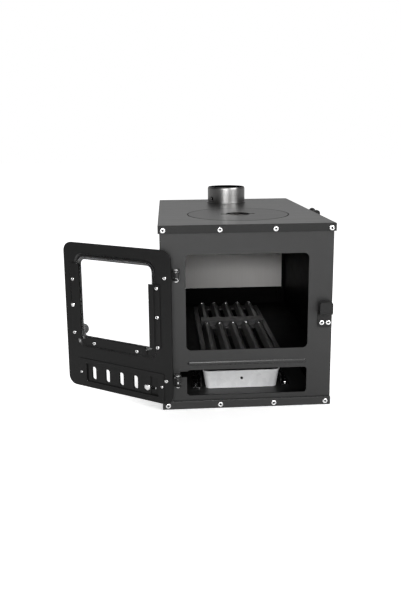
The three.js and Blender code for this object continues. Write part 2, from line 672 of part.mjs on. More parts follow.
// The thin frame that keeps the slide in its recess, screwed to the sheet at its two ends
function makeSlideFrame(parent) {
  const foot = doorInner + clearance;
  const z0 = recessBottom + recess.slope + slideFrame.lap + clearance;
  const z1 = recessTop - recess.slope - slideFrame.lap - clearance;
  const x0 = recessLeft + recess.slope;
  const x1 = recessRight - slideFrame.endLap;
  const sheet = extruded(roundedRect(recessLeft - slideFrame.near, recessRight + slideFrame.far,
    z0 - slideFrame.border, z1 + slideFrame.border, slideFrame.corner), slideFrame.sheet);
  const gap = block(x0, x1, foot - overrun, foot + slideFrame.sheet + overrun, z0, z1);
  piece('slide_frame', formed([standing(sheet, foot + slideFrame.sheet)], [gap]), finishes.casing, parent);
}

// Hinges

function makeBracket(parent, name, centre) {
  const low = centre - bracket.height / 2;
  const high = centre + bracket.height / 2;
  const r = bracket.halfWidth;
  const base = frontFace - clearance - hingeY;
  const ear = new THREE.Shape();
  ear.moveTo(r, base);
  ear.lineTo(-r, base);
  ear.lineTo(-r, 0);
  ear.absarc(0, 0, r, Math.PI, Math.PI * 2);
  ear.closePath();
  const blanks = [
    block(-r, r, base - bracket.sheet, base, low, high),
    extruded(ear, bracket.sheet).translate(0, 0, low),
    extruded(ear, bracket.sheet).translate(0, 0, high - bracket.sheet),
  ];
  const bore = rodUp(pin.radius + pin.play, low - overrun, high + overrun);
  const mesh = piece(`hinge_bracket_${name}`, formed(blanks, [bore]), finishes.casing, parent);
  mesh.position.set(hingeX, hingeY, 0);
  const shaft = turnedUp([
    [0, low - pin.play - pin.headHeight],
    [pin.head, low - pin.play - pin.headHeight],
    [pin.head, low - pin.play],
    [pin.radius, low - pin.play],
    [pin.radius, high + pin.play],
    [pin.head, high + pin.play],
    [pin.head, high + pin.play + pin.headHeight],
    [0, high + pin.play + pin.headHeight],
  ], pinSteps);
  piece(`hinge_pin_${name}`, shaft, finishes.steel, parent).position.set(hingeX, hingeY, 0);
}

function makeLeaf(parent, name, centre) {
  const half = bracket.height / 2 - knuckle.inset;
  const back = door.outer - clearance;
  const blanks = [
    rodUp(knuckle.radius, centre - half, centre + half, pinSteps),
    block(0, knuckle.neck, back - knuckle.leafSheet, back, centre - half, centre + half),
    block(knuckle.neck, knuckle.leafLength, back - knuckle.leafSheet, back, centre - knuckle.leafHalf,
      centre + knuckle.leafHalf),
  ];
  const bore = rodUp(pin.radius + pin.play, centre - half - overrun, centre + half + overrun);
  piece(`hinge_leaf_${name}`, formed(blanks, [bore]), finishes.casing, parent);
}

// Latch, at rest with its tongue up and its knob hanging

function makeLatch(parent) {
  const group = new THREE.Group();
  group.position.set(spindleX, 0, spindleZ);
  parent.add(group);
  const inner = doorInner + clearance + strip.sheet + clearance;
  const outer = door.outer - spindle.outerReach;
  const rod = turned([
    [0, outer],
    [spindle.radius, outer],
    [spindle.radius, inner],
    [spindle.nut, inner],
    [spindle.nut, inner + spindle.nutHeight / 2],
    [spindle.nut / 2, inner + spindle.nutHeight],
    [0, inner + spindle.nutHeight],
  ], pinSteps);
  piece('latch_spindle', rod, finishes.steel, group);
  const half = tongue.width / 2;
  const blade = roundedRect(-half, half, -tongue.eye, tongue.reach, half * tongue.endShare);
  const tongueFace = door.outer - clearance;
  const hub = rodAlongY(tongue.eye, tongueFace - tongue.sheet - tongue.sheet / 2,
    tongueFace - tongue.sheet / 2);
  const bore = rodAlongY(spindle.radius + clearance, outer, doorInner);
  const bladeBlanks = [standing(extruded(blade, tongue.sheet), tongueFace), hub];
  piece('latch_tongue', formed(bladeBlanks, [bore]), finishes.casing, group);
  const barY = outer - clearance - lever.radius;
  const pegEnd = door.outer - lever.pegReach + lever.radius;
  const knobY = door.outer - ballKnob.reach;
  const knobFlat = knobY + ballKnob.radius - ballKnob.flat;
  const socketEnd = knobFlat - ballKnob.socket;
  const handle = formed([
    rodUp(lever.radius, -lever.down, lever.up).translate(0, barY, 0),
    leverBall(barY, -lever.down),
    leverBall(barY, lever.up),
    leverBall(pegEnd, lever.up),
    rodAlongY(lever.radius, pegEnd, barY).translate(0, 0, lever.up),
    rodAlongY(lever.radius, socketEnd + clearance, barY).translate(0, 0, -lever.down),
  ]);
  piece('latch_handle', handle, finishes.casing, group);
  const ball = new THREE.SphereGeometry(ballKnob.radius, roundSteps / 2, pinSteps).translate(0, knobY, 0);
  const socket = rodAlongY(lever.radius + clearance, socketEnd, knobFlat + overrun);
  const flat = rodAlongY(ballKnob.radius, knobFlat, knobY + ballKnob.radius + overrun);
  const knob = formed([ball], [socket, flat]);
  piece('latch_knob', knob, finishes.knob, group).position.z = -lever.down;
}

// Rounds a bend or an end of the lever's rod
function leverBall(y, z) {
  return new THREE.SphereGeometry(lever.radius, pinSteps, pinSteps / 2).translate(0, y, z);
}

function makeKeeper(parent) {
  const face = frontFace - clearance;
  const wallFace = face - keeper.sheet;
  const tongueFace = hingeY + door.outer - clearance - tongue.sheet;
  const hookInner = tongueFace - clearance - clearance;
  const hookOuter = hookInner - keeper.sheet;
  const bottom = pocketZ - keeper.below;
  const bend = pocketZ - keeper.bend;
  const top = spindleZ + keeper.above;
  const profile = outline([
    [face, bottom], [face, top], [wallFace, top], [wallFace, pocketZ],
    [hookInner, pocketZ], [hookInner, top], [hookOuter, top], [hookOuter, pocketZ],
    [hookOuter + keeper.sheet, bend], [wallFace, bend], [wallFace, bottom],
  ]);
  const body = sideways(extruded(profile, keeper.halfWidth + keeper.halfWidth), keeperX - keeper.halfWidth);
  const bores = keeperScrewPlaces().map((p) => rodAlongY(screw.shank + clearance, wallFace - overrun,
    face + overrun).translate(p.x, 0, p.z));
  piece('latch_keeper', formed([body], bores), finishes.casing, parent);
  keeperScrewPlaces().forEach((place, i) => {
    const mesh = piece(`keeper_screw_${i + 1}`, screwGeometry(), finishes.steel, parent);
    mesh.position.set(place.x, wallFace, place.z);
  });
}

function makeFrontScrews(parent) {
  screwPlaces().forEach((place, i) => {
    const mesh = piece(`${place.name}_${i + 1}`, screwGeometry(), finishes.steel, parent);
    mesh.position.set(place.x, frontLipFace, place.z);
  });
}

function makeBackScrews(parent) {
  backScrewPlaces().forEach((place, i) => {
    const mesh = piece(`back_screw_${i + 1}`, screwGeometry().rotateZ(Math.PI), finishes.steel, parent);
    mesh.position.set(place.x, -frontLipFace, place.z);
  });
}

// Lifting handle

function makeSideHandle(parent) {
  const foot = bodyHalf + clearance;
  const x = stoveWidth / 2 + sideHandle.standoff;
  const z = stoveHeight - sideHandle.drop;
  const t = sideBracket.sheet;
  const top = z - sideBracket.below;
  const armLow = top - sideBracket.arm;
  const front = frontLipFace + sideHandle.setback;
  const rear = front + sideHandle.length;
  const profile = [
    [foot, top - sideBracket.foot], [foot + t, top - sideBracket.foot], [foot + t, armLow],
    [x + sideBracket.eye, armLow], [x + sideBracket.eye, z], [x - sideBracket.eye, z],
    [x - sideBracket.eye, top], [foot, top],
  ];
  const places = { front, rear };
  for (const [name, y] of Object.entries(places)) {
    const half = sideBracket.width / 2;
    const body = standing(extruded(outline(profile), sideBracket.width), y + half);
    const eye = rodAlongY(sideBracket.eye, y - half, y + half).translate(x, 0, z);
    const bore = rodAlongY(sideHandle.radius + clearance, y - half - overrun, y + half + overrun);
    bore.translate(x, 0, z);
    piece(`side_handle_bracket_${name}`, formed([body, eye], [bore]), finishes.casing, parent);
  }
  const reach = sideBracket.width / 2 + clearance;
  const y0 = front - reach;
  const y1 = rear + reach;
  const rod = turned([
    [0, y0 - sideHandle.overhang],
    [sideHandle.end, y0 - sideHandle.overhang],
    [sideHandle.end, y0],
    [sideHandle.radius, y0],
    [sideHandle.radius, y1],
    [sideHandle.end, y1],
    [sideHandle.end, y1 + sideHandle.overhang],
    [0, y1 + sideHandle.overhang],
  ], pinSteps);
  piece('side_handle', rod, finishes.casing, parent).position.set(x, 0, z);
}

const stove = new THREE.Group();

makeBasePan(stove);
makeTopPan(stove);
makeSide(stove, 'left_side', -1);
makeSide(stove, 'right_side', 1);
makeFrontPanel(stove);
makeBackPanel(stove);
makeSeatRing(stove);
makeLid(stove);
makeCollar(stove);
makeLiner(stove);
makeHearth(stove);
makeGrateFrame(stove);
makeGrateBars(stove);
makeTray(stove);
makeGuide(stove, 'drawer_guide_left', -1);
makeGuide(stove, 'drawer_guide_right', 1);
makeBracket(stove, 'lower', door.bottom + bracket.lowRise);
makeBracket(stove, 'upper', doorTop - bracket.highDrop);
makeKeeper(stove);
makeFrontScrews(stove);
makeBackScrews(stove);
makeSideHandle(stove);

const doorGroup = new THREE.Group();
doorGroup.position.set(hingeX, hingeY, 0);
doorGroup.rotation.z = -openAngle;
stove.add(doorGroup);
makeDoorPlate(doorGroup);
makeGlass(doorGroup);
makeStrips(doorGroup);
makeAirSlide(doorGroup);
makeSlideFrame(doorGroup);
makeLeaf(doorGroup, 'lower', door.bottom + bracket.lowRise);
makeLeaf(doorGroup, 'upper', doorTop - bracket.highDrop);
makeLatch(doorGroup);

export default stove;
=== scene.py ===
"""Looks of a portable steel wood stove: sheet casing, glazed door, grate, ash tray and flue collar."""

import json
import math

import bmesh
import bpy
from mathutils import Matrix, Vector

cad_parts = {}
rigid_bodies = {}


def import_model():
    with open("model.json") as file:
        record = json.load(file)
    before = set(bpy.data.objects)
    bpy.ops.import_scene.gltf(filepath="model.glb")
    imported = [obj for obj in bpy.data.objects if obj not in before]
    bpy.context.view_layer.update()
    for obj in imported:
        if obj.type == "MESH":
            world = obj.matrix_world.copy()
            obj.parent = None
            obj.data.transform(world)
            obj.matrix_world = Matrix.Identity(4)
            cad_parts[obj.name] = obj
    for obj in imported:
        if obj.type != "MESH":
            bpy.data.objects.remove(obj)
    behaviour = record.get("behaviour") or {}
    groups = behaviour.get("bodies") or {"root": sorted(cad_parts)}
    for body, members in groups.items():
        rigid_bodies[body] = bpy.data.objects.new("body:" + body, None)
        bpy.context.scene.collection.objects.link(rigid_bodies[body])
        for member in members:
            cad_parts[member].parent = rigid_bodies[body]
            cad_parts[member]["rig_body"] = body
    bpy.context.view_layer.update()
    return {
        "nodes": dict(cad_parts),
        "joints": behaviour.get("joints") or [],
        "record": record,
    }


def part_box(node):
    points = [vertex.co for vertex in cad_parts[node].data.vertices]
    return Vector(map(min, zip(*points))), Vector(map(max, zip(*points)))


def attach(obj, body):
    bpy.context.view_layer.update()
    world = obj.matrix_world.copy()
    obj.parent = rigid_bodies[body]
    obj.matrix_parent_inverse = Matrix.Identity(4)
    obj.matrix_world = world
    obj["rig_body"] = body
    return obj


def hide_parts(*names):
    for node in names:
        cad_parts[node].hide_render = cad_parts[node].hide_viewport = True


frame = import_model()
nodes = frame["nodes"]
joints = {joint["name"]: joint for joint in frame["joints"]}
slot_of = {part["node"]: part["material_slot"] for part in frame["record"]["subparts"]}

# Camera, as the photograph was taken
FOCAL_PIXELS = 591.65
FRAME_PIXELS = 601
AXIS_PIXEL = 243.6
SENSOR = 36
NEAR_LIMIT = 0.01
CAMERA_PLACE = (-0.1435, -1.2549, 0.4948)
CAMERA_TURN = (-0.1747, 0.0097, -0.0573)

# Axes, and how straight an edge or a normal runs along one of them
ACROSS, BACK, UP = range(3)
ALONG = 0.999

# Corners closer than MERGE are one, faces within FLAT are one plane, edges past SHARP are rounded, and edges
# past SMOOTH stay sharp in the shading
MERGE = 0.00001
FLAT = math.radians(0.4)
SHARP = math.radians(28)
SMOOTH = math.radians(40)

# Widths of rounded edges: cut sheet, pressed rims, and cast or bent pieces, then the folds of the casing
CUT_EDGE = 0.0004
RIM = 0.001
HEARTH_EDGE = 0.0005
GUIDE_EDGE = 0.0007
BAR_EDGE = 0.0008
HINGE_EDGE = 0.0009
FOLD = 0.0018
BASE_FOLD = 0.0024
PANEL_FOLD = 0.0022

# Least share of a normal that points one way on a face that is flat, faces that way or is turned out
UNBENT = 0.97
LID_FLAT = 0.93
FACING = 0.7
TURNED_OUT = 0.3

# Bead of the front panel: cuts across it, and how far its flanks reach out for their rise
BEAD_CUTS = 12
BEAD_DRAFT = 1.09

# Keeper: the round ends of its plate and its hook, and the fold and sheet of the hook
KEEPER_END = 0.005
KEEPER_CORNER = 0.004
KEEPER_FOLD = 0.0018
KEEPER_SHEET = 0.0032

# Widths of the groove round the lid, of the drawer's rim and of the door plate's unpressed border
LID_GROOVE = 0.002
DRAWER_RIM = 0.003
DOOR_MARGIN = 0.008

# Ball knob: its faces round it and from pole to pole
BALL_SIDES = 40
BALL_ROWS = 28

# Washer under the air knob's grip: its size, and how far its inner face is from the slide
WASHER_RADIUS = 0.0142
WASHER_SHEET = 0.0009
WASHER_EDGE = WASHER_SHEET / 4
WASHER_STANDOFF = 0.0031
WASHER_SIDES = 48

# Button heads: radius and rise of the head, radius and depth of its socket
LIP_SCREW = {"radius": 0.005, "rise": 0.0025, "socket": 0.0022, "depth": 0.0018}
DOOR_SCREW = {"radius": 0.0036, "rise": 0.0021, "socket": 0.0015, "depth": 0.0013}
SMALL_SCREW = {"radius": 0.0027, "rise": 0.0014, "socket": 0.0009, "depth": 0.0008}
SCREW_SIDES = 24
DOME_STEPS = 4
SCREW_TURN = 0.7

# A head's straight side as a share of its rise, then the socket's edges as shares of the socket's radius
SIDE_SHARE = 0.32
DOME_SHARE = 1.35
MOUTH_SHARE = 1.1
CHAMFER_SHARE = 0.15
SOCKET_SHARE = 1.05

# Nuts: radius and rise, and how far the thread stands out; below, shares of the radius
LEAF_NUT = {"radius": 0.0038, "rise": 0.0022, "tip": 0.0012}
DOOR_NUT = {"radius": 0.003, "rise": 0.0014, "tip": 0.0008}
NUT_EDGE_SHARE = 0.12
THREAD_FOOT_SHARE = 0.5
THREAD_TIP_SHARE = 0.44
THREAD_SIDES = 16

# Places of the door's fasteners, in the door's own frame: x from the hinge axis, z from the floor
STRIP_SCREWS = [(0.2255, 0.232), (0.2267, 0.1246), (0.0359, 0.2336), (0.0358, 0.18), (0.0356, 0.123)]
LOW_SCREWS = [(0.1816, 0.1074), (0.083, 0.1075)]
LEAF_BOLTS = [(0.0196, 0.2534), (0.0201, 0.0605)]
FRAME_SCREWS = [(0.214, 0.0451), (0.0289, 0.0483)]

# Their seats: on the glass strips' sheet inside, and on the leaves and the door plate outside
STRIP_SHEET = 0.0018
LOW_STRIP_SHEET = 0.0015
LEAF_OUTER = 0.0022
PLATE_OUTER = 0.0045

# Places of the casing's other fasteners: along the back and side lips, on the grate, guides and handle
REAR_TOP_SCREWS = (-0.05, 0.05)
REAR_BASE_SCREWS = (-0.147, -0.05, 0.05, 0.147)
SIDE_BASE_SCREWS = (-0.19, 0, 0.19)
SIDE_SCREW_LIFT = 0.001
GRATE_BOLT_INSET = 0.009
GUIDE_SCREW_INSET = 0.012
GUIDE_SCREW_REACH = 0.0075
GUIDE_SHEET = 0.002
HANDLE_SHEET = 0.003
HANDLE_SCREW_RISE = 0.0085

# Floor: its reach, gap below the stove and colour, then the middle, fade and glow of the patch that keeps
# the shadow, and how much of the floor metal mirrors
FLOOR_REACH = 12
FLOOR_GAP = 0.0003
FLOOR_COLOUR = 0.88
FLOOR_SHADED = (-0.02, -0.3, 0)
FLOOR_FADE = (0.1, 0.4)
FLOOR_GLOW = 0.4
FLOOR_MIRRORED = 0.35

# Room: its light, then what metal mirrors in front, behind and between the two
ROOM_LIGHT = 0.1
ROOM_FRONT = 0.05
ROOM_BEHIND = 0.23
ROOM_FADE = (-0.1, 0.75)

# Lamps: name, place, aim, size and power
LAMPS = [
    ("right_softbox", (1.5, -1.5, 1.05), (0, -0.1, 0.25), (1.2, 0.9), 24),
    ("wide_softbox", (1.0, -1.9, 1.06), (0, -0.1, 0.2), (1.8, 0.7), 10),
    ("low_strip", (-0.38, -2.2, 0.78), (0, 0.2, 0.16), (1.4, 0.24), 25),
    ("brow_softbox", (0.1, -1.1, 1.95), (0, -0.22, 0.1), (1.1, 0.35), 4),
    ("overhead", (0.2, 0.3, 1.9), (0, 0, 0.3), (1.4, 1.2), 8),
    ("rear_softbox", (0.1, 2, 1.1), (0, 0, 0.3), (1.6, 0.8), 2.5),
]

GRATE_BARS = [f"grate_bar_{bank}_{i}" for bank in ("front", "rear") for i in range(1, 6)]


class Wire:
    """A socket of a node tree. Its operators add Math nodes, so that shader maths reads as arithmetic."""

    def __init__(self, tree, socket):
        self.tree = tree
        self.socket = socket

    def math(self, operation, other):
        return self.tree.node("ShaderNodeMath", {0: self, 1: other}, operation=operation)

    def __add__(self, other):
        return self.math("ADD", other)

    __radd__ = __add__

    def __mul__(self, other):
        return self.math("MULTIPLY", other)

    __rmul__ = __mul__


class Tree:
    """A node tree, with one method for every kind of node and short ones for the patterns used here."""

    def __init__(self, owner):
        owner.use_nodes = True
        self.tree = owner.node_tree

    def node(self, kind, inputs=None, output=0, **settings):
        """A new node with its settings and inputs, as the wire of one of its outputs."""
        made = self.tree.nodes.new(kind)
        for name, value in settings.items():
            setattr(made, name, value)
        for key, value in (inputs or {}).items():
            self.feed(made.inputs[key], value)
        return Wire(self, made.outputs[output])

    def feed(self, socket, value):
        """Links a wire to a socket, or sets the socket to a plain value."""
        if isinstance(value, Wire):
            self.tree.links.new(value.socket, socket)
        else:
            socket.default_value = value

    def place(self, scale=(1, 1, 1)):
        """Object coordinates, with a scale for each axis."""
        place = self.node("ShaderNodeTexCoord", output="Object")
        return self.node("ShaderNodeMapping", {"Vector": place, "Scale": scale})

    def noise(self, place, scale, detail=2, roughness=0.5):
        inputs = {"Vector": place, "Scale": scale, "Detail": detail, "Roughness": roughness}
        return self.node("ShaderNodeTexNoise", inputs)

    def bent(self, place, scale, reach):
        """The place with a small wandering offset, which bends a pattern."""
        wander = self.node("ShaderNodeTexNoise", {"Vector": place, "Scale": scale}, output="Color")
        middle = self.node("ShaderNodeVectorMath", {0: wander, 1: (0.5, 0.5, 0.5)}, operation="SUBTRACT")
        offset = self.node("ShaderNodeVectorMath", {0: middle, "Scale": reach}, operation="SCALE")
        return self.node("ShaderNodeVectorMath", {0: place, 1: offset}, operation="ADD")

    def between(self, value, low, high):
        """0 below low, 1 above high, and a smooth step from one to the other."""
        inputs = {"Value": value, "From Min": low, "From Max": high}
        return self.node("ShaderNodeMapRange", inputs, interpolation_type="SMOOTHSTEP")

    def mix(self, factor, first, second):
        inputs = {0: factor, 6: first, 7: second}
        return self.node("ShaderNodeMix", inputs, output=2, data_type="RGBA")

    def bump(self, height, distance, strength=1):
        inputs = {"Height": height, "Distance": distance, "Strength": strength}
        return self.node("ShaderNodeBump", inputs)


def grey(value, warmth=0):
    """A grey as a shader's colour; warmth tips it from blue towards red."""
    return (value * (1 + warmth), value, value * (1 - warmth), 1)


def new_finish(name, constants):
    """A material with its tree and its shader; constants are the sockets that are the same all over."""
    material = bpy.data.materials.new(name)
    tree = Tree(material)
    shader = tree.tree.nodes["Principled BSDF"]
    for socket, value in constants.items():
        shader.inputs[socket].default_value = value
    return material, tree, shader.inputs


# Finishes


def sprayed_black(name, dark, light, rough, gloss=1.45):
    """Satin heat-resistant paint: a fine orange peel, faint clouds and streaks, a few handling marks."""
    material, tree, shader = new_finish(name, {"IOR": gloss})
    place = tree.place()
    clouds = tree.noise(place, 7, 3)
    peel = tree.noise(place, 520, 3)
    marks = tree.between(tree.noise(tree.place((1, 1, 0.35)), 46, 5, 0.7), 0.6, 0.78)
    streaks = tree.noise(tree.place((2, 2, 130)), 4, 5, 0.65)
    tone = tree.mix(clouds * 0.5 + streaks * 0.3 + peel * 0.2, grey(dark), grey(light))
    tree.feed(shader["Base Color"], tree.mix(marks * 0.25, tone, grey(light * 1.5)))
    tree.feed(shader["Roughness"], rough - 0.1 + peel * 0.12 + streaks * 0.1 + marks * 0.08)
    tree.feed(shader["Normal"], tree.bump(peel, 0.00005, 0.6))
    return material


def chipped_black():
    """Glossy black of the hinges, chipped to the bare metal where they rub."""
    material, tree, shader = new_finish("hinge_black", {"IOR": 1.45})
    place = tree.place()
    peel = tree.noise(place, 700, 2)
    chips = tree.between(tree.noise(place, 300, 2, 0.4), 0.6, 0.66)
    tree.feed(shader["Base Color"], tree.mix(chips, tree.mix(peel, grey(0.003), grey(0.01)), grey(0.85)))
    tree.feed(shader["Metallic"], chips)
    tree.feed(shader["Roughness"], 0.1 + peel * 0.1 + chips * 0.1)
    tree.feed(shader["Normal"], tree.bump(peel, 0.00005, 0.5))
    return material


def rolled_plate(name, dark, light, gloss):
    """Black over plate whose rolling lines run from side to side."""
    material, tree, shader = new_finish(name, {"IOR": gloss})
    lines = tree.noise(tree.place((1.6, 90, 6)), 4, 6, 0.65)
    fine = tree.noise(tree.place((3, 420, 30)), 4, 3, 0.6)
    clouds = tree.noise(tree.place(), 6, 3)
    tone = tree.mix(lines * 0.6 + fine * 0.25 + clouds * 0.15, grey(dark), grey(light, 0.01))
    tree.feed(shader["Base Color"], tone)
    tree.feed(shader["Roughness"], 0.2 + lines * 0.18 + fine * 0.1)
    tree.feed(shader["Normal"], tree.bump(lines * 0.4 + fine * 0.6, 0.00006, 0.5))
    return material


def hearth_finish():
    """Dull black of the hearth plate, blotched and gritty."""
    material, tree, shader = new_finish("hearth_black", {"IOR": 1.2})
    place = tree.place()
    blotches = tree.noise(place, 34, 5, 0.62)
    grit = tree.noise(place, 900, 2)
    tone = tree.mix(blotches, grey(0.001), grey(0.004))
    tree.feed(shader["Base Color"], tree.mix(tree.between(grit, 0.55, 0.8) * 0.3, tone, grey(0.01)))
    tree.feed(shader["Roughness"], 0.5 + blotches * 0.16)
    tree.feed(shader["Normal"], tree.bump(grit * 0.6 + blotches * 0.4, 0.0001, 0.7))
    return material


def painted_shade_black():
    """Painted shade inside the firebox and the collar and on the lid's edges: matt black with hardly any
    sheen.
    """
    material, tree, shader = new_finish("painted_shade_black", {"IOR": 1.1})
    painted_shade = tree.noise(tree.place(), 40, 5, 0.6)
    tree.feed(shader["Base Color"], tree.mix(painted_shade, grey(0.001), grey(0.004)))
    tree.feed(shader["Roughness"], 0.4 + painted_shade * 0.2)
    tree.feed(shader["Normal"], tree.bump(painted_shade, 0.0002, 0.4))
    return material


def liner_sheet():
    """Bare steel sheet with a soft vertical grain and the faint straw tint of first heating."""
    material, tree, shader = new_finish("liner_sheet", {"Metallic": 0.2})
    grain = tree.noise(tree.place((60, 1, 1.2)), 9, 5, 0.6)
    clouds = tree.noise(tree.place(), 9, 4)
    tone = tree.mix(grain * 0.5 + clouds * 0.5, grey(0.5, 0.03), grey(0.66, 0.015))
    tree.feed(shader["Base Color"], tone)
    tree.feed(shader["Roughness"], 0.42 + grain * 0.16)
    tree.feed(shader["Normal"], tree.bump(grain, 0.00005, 0.5))
    return material


def zinc_sheet():
    """Galvanised sheet: pale spangles in soft patches."""
    material, tree, shader = new_finish("zinc_sheet", {"IOR": 1.6})
    place = tree.place()
    inputs = {"Vector": tree.bent(place, 30, 0.006), "Scale": 120}
    cells = tree.node("ShaderNodeTexVoronoi", inputs, output="Color")
    spangle = tree.node("ShaderNodeRGBToBW", {"Color": cells})
    patches = tree.noise(place, 26, 4, 0.6)
    tone = tree.mix(spangle * 0.45 + patches * 0.55, grey(0.74, -0.01), grey(0.97, -0.005))
    tree.feed(shader["Base Color"], tone)
    tree.feed(shader["Roughness"], 0.26 + spangle * 0.2 + patches * 0.12)
    tree.feed(shader["Normal"], tree.bump(spangle * 0.5 + patches * 0.5, 0.00005, 0.4))
    return material


def drawer_shade():
    """Painted shade for the inside of the drawer: dark zinc with a soft mottle."""
    material, tree, shader = new_finish("drawer_shade", {"IOR": 1.3})
    shade_mottle = tree.noise(tree.place(), 30, 5, 0.65)
    tree.feed(shader["Base Color"], tree.mix(shade_mottle, grey(0.02, 0.02), grey(0.09, 0.02)))
    tree.feed(shader["Roughness"], 0.6 + shade_mottle * 0.25)
    tree.feed(shader["Normal"], tree.bump(shade_mottle, 0.0002, 0.5))
    return material


def bright_steel():
    """Zinc-plated fasteners with a fine grain of specks."""
    material, tree, shader = new_finish("bright_steel", {"Metallic": 1})
    specks = tree.noise(tree.place(), 900, 3)
    tree.feed(shader["Base Color"], tree.mix(specks, grey(0.72), grey(0.95)))
    tree.feed(shader["Roughness"], 0.16 + specks * 0.16)
    return material


def socket_dark():
    """Painted shade for the bottom of a screw's socket: near black, faintly specked."""
    material, tree, shader = new_finish("socket_dark", {"IOR": 1.3})
    specks = tree.noise(tree.place(), 1500, 2)
    tree.feed(shader["Base Color"], tree.mix(specks, grey(0.01), grey(0.03)))
    tree.feed(shader["Roughness"], 0.5 + specks * 0.2)
    return material


def collar_steel():
    """Drawn steel of the flue collar: fine lines round it, over lighter and darker clouds."""
    material, tree, shader = new_finish("collar_steel", {"Metallic": 1})
    rings = tree.noise(tree.place((1.5, 1.5, 130)), 8, 4, 0.6)
    clouds = tree.noise(tree.place(), 28, 4)
    tone = tree.mix(rings * 0.55 + clouds * 0.45, grey(0.16, 0.01), grey(0.46, 0.01))
    tree.feed(shader["Base Color"], tone)
    tree.feed(shader["Roughness"], 0.2 + rings * 0.14 + clouds * 0.06)
    tree.feed(shader["Normal"], tree.bump(rings, 0.0001, 0.7))
    return material


def stove_glass():
    """Clear heat-resistant glass with a trace of wiping."""
    constants = {"Transmission Weight": 1, "IOR": 1.47, "Base Color": grey(0.985, -0.004)}
    material, tree, shader = new_finish("stove_glass", constants)
    wiped = tree.noise(tree.place((1, 1, 0.4)), 22, 4)
    tree.feed(shader["Roughness"], tree.between(wiped, 0.5, 0.9) * 0.04)
    return material


def gasket_rope():
    """Flat glass-fibre rope, dark grey, with its weave."""
    material, tree, shader = new_finish("gasket_rope", {"Sheen Weight": 0.2})
    weave = tree.node("ShaderNodeTexVoronoi", {"Vector": tree.place(), "Scale": 900})
    dust_and_shade = tree.noise(tree.place(), 120, 4)
    tree.feed(shader["Base Color"], tree.mix(weave * 0.6 + dust_and_shade * 0.4, grey(0.03), grey(0.12)))
    tree.feed(shader["Roughness"], 0.85 + dust_and_shade * 0.15)
    tree.feed(shader["Normal"], tree.bump(weave, 0.0003, 0.8))
    return material


def knob_resin():
    """Pressed black resin of the ball knob, polished, with a faint flow pattern."""
    material, tree, shader = new_finish("knob_resin", {"Coat Roughness": 0.08})
    flow = tree.noise(tree.place(), 60, 4, 0.6)
    tree.feed(shader["Base Color"], tree.mix(flow, grey(0.008), grey(0.02)))
    tree.feed(shader["Roughness"], 0.2 + flow * 0.1)
    tree.feed(shader["Coat Weight"], 0.3 + flow * 0.2)
    return material


paint = sprayed_black("stove_paint", dark=0.012, light=0.023, rough=0.42)
# A lighter, glossier copy of the paint for bends and pressed flanks: the lighter tone is a painted highlight
bend_highlight_paint = sprayed_black("bend_highlight_paint", dark=0.014, light=0.03, rough=0.27, gloss=1.5)
# A darker copy of the paint for the top pan's lips and the keeper: painted shade
shaded_lip_paint = sprayed_black("shaded_lip_paint", dark=0.006, light=0.013, rough=0.5, gloss=1.34)
# A darker copy of the paint for the door, its strips, slide, latch, washer and leaves, and the side handle:
# painted shade
shaded_door_paint = sprayed_black("shaded_door_paint", dark=0.006, light=0.014, rough=0.42, gloss=1.26)
hinge_black = chipped_black()
hearth_black = hearth_finish()
grate_black = sprayed_black("grate_black", dark=0.02, light=0.05, rough=0.3, gloss=1.5)
lid_plate = rolled_plate("lid_plate", dark=0.006, light=0.02, gloss=1.38)
steel = bright_steel()
# Painted shade: near black for the firebox's inner faces, the collar's inside and the lid's edges and
# underside
painted_shade = painted_shade_black()
# Painted shade for the inside of the ash drawer
dust_and_shade = drawer_shade()
# Painted shade for the bottoms of the screw sockets
socket_shade = socket_dark()
finishes = {
    "casing": paint,
    "hob_plate": rolled_plate("rolled_plate", dark=0.01, light=0.032, gloss=1.48),
    "fire_iron": grate_black,
    "liner_steel": liner_sheet(),
    "galvanised": zinc_sheet(),
    "bright_steel": steel,
    "flue_steel": collar_steel(),
    "glass": stove_glass(),
    "gasket": gasket_rope(),
    "knob": knob_resin(),
}


# Frames and shapes


def door_frame():
    """The door's own frame at rest: x along the door from the hinge axis, y towards the stove when shut."""
    hinge = joints["door_hinge"]
    shut_turn = math.radians(hinge["range_deg"][0])
    place = Vector((hinge["pos_m"][0], hinge["pos_m"][1], 0))
    return Matrix.Translation(place) @ Matrix.Rotation(shut_turn, 4, "Z")


DOOR = door_frame()


def door_box(name):
    """Lowest and highest corner of a CAD node in the door's own frame."""
    back = DOOR.inverted()
    corners = [back @ vertex.co for vertex in nodes[name].data.vertices]
    low = Vector(min(c[i] for c in corners) for i in range(3))
    high = Vector(max(c[i] for c in corners) for i in range(3))
    return low, high


def cad_shape(name, place=Matrix()):
    """A bmesh of a CAD node in a frame, its corners merged and its flat faces joined."""
    shape = bmesh.new()
    shape.from_mesh(nodes[name].data)
    bmesh.ops.remove_doubles(shape, verts=shape.verts, dist=MERGE)
    bmesh.ops.dissolve_limit(shape, angle_limit=FLAT, verts=shape.verts, edges=shape.edges)
    bmesh.ops.transform(shape, matrix=place.inverted(), verts=shape.verts)
    return shape


def sharp_edges(shape, chosen=None, along=None):
    """The sharp edges whose ends are both chosen, and that run along one axis where along names it."""
    edges = [e for e in shape.edges if e.is_manifold and e.calc_face_angle() > SHARP]
    if chosen:
        edges = [e for e in edges if all(chosen(v.co) for v in e.verts)]
    if along is not None:
        edges = [e for e in edges if abs((e.verts[0].co - e.verts[1].co).normalized()[along]) > ALONG]
    return edges


def round_edges(shape, width, segments=2, chosen=None, along=None):
    """Rounds the sharp edges of a shape, or those of them that are chosen."""
    bmesh.ops.bevel(shape, geom=sharp_edges(shape, chosen, along), offset=width, offset_type="OFFSET",
                    segments=segments, profile=0.5, affect="EDGES", clamp_overlap=True, material=-1)


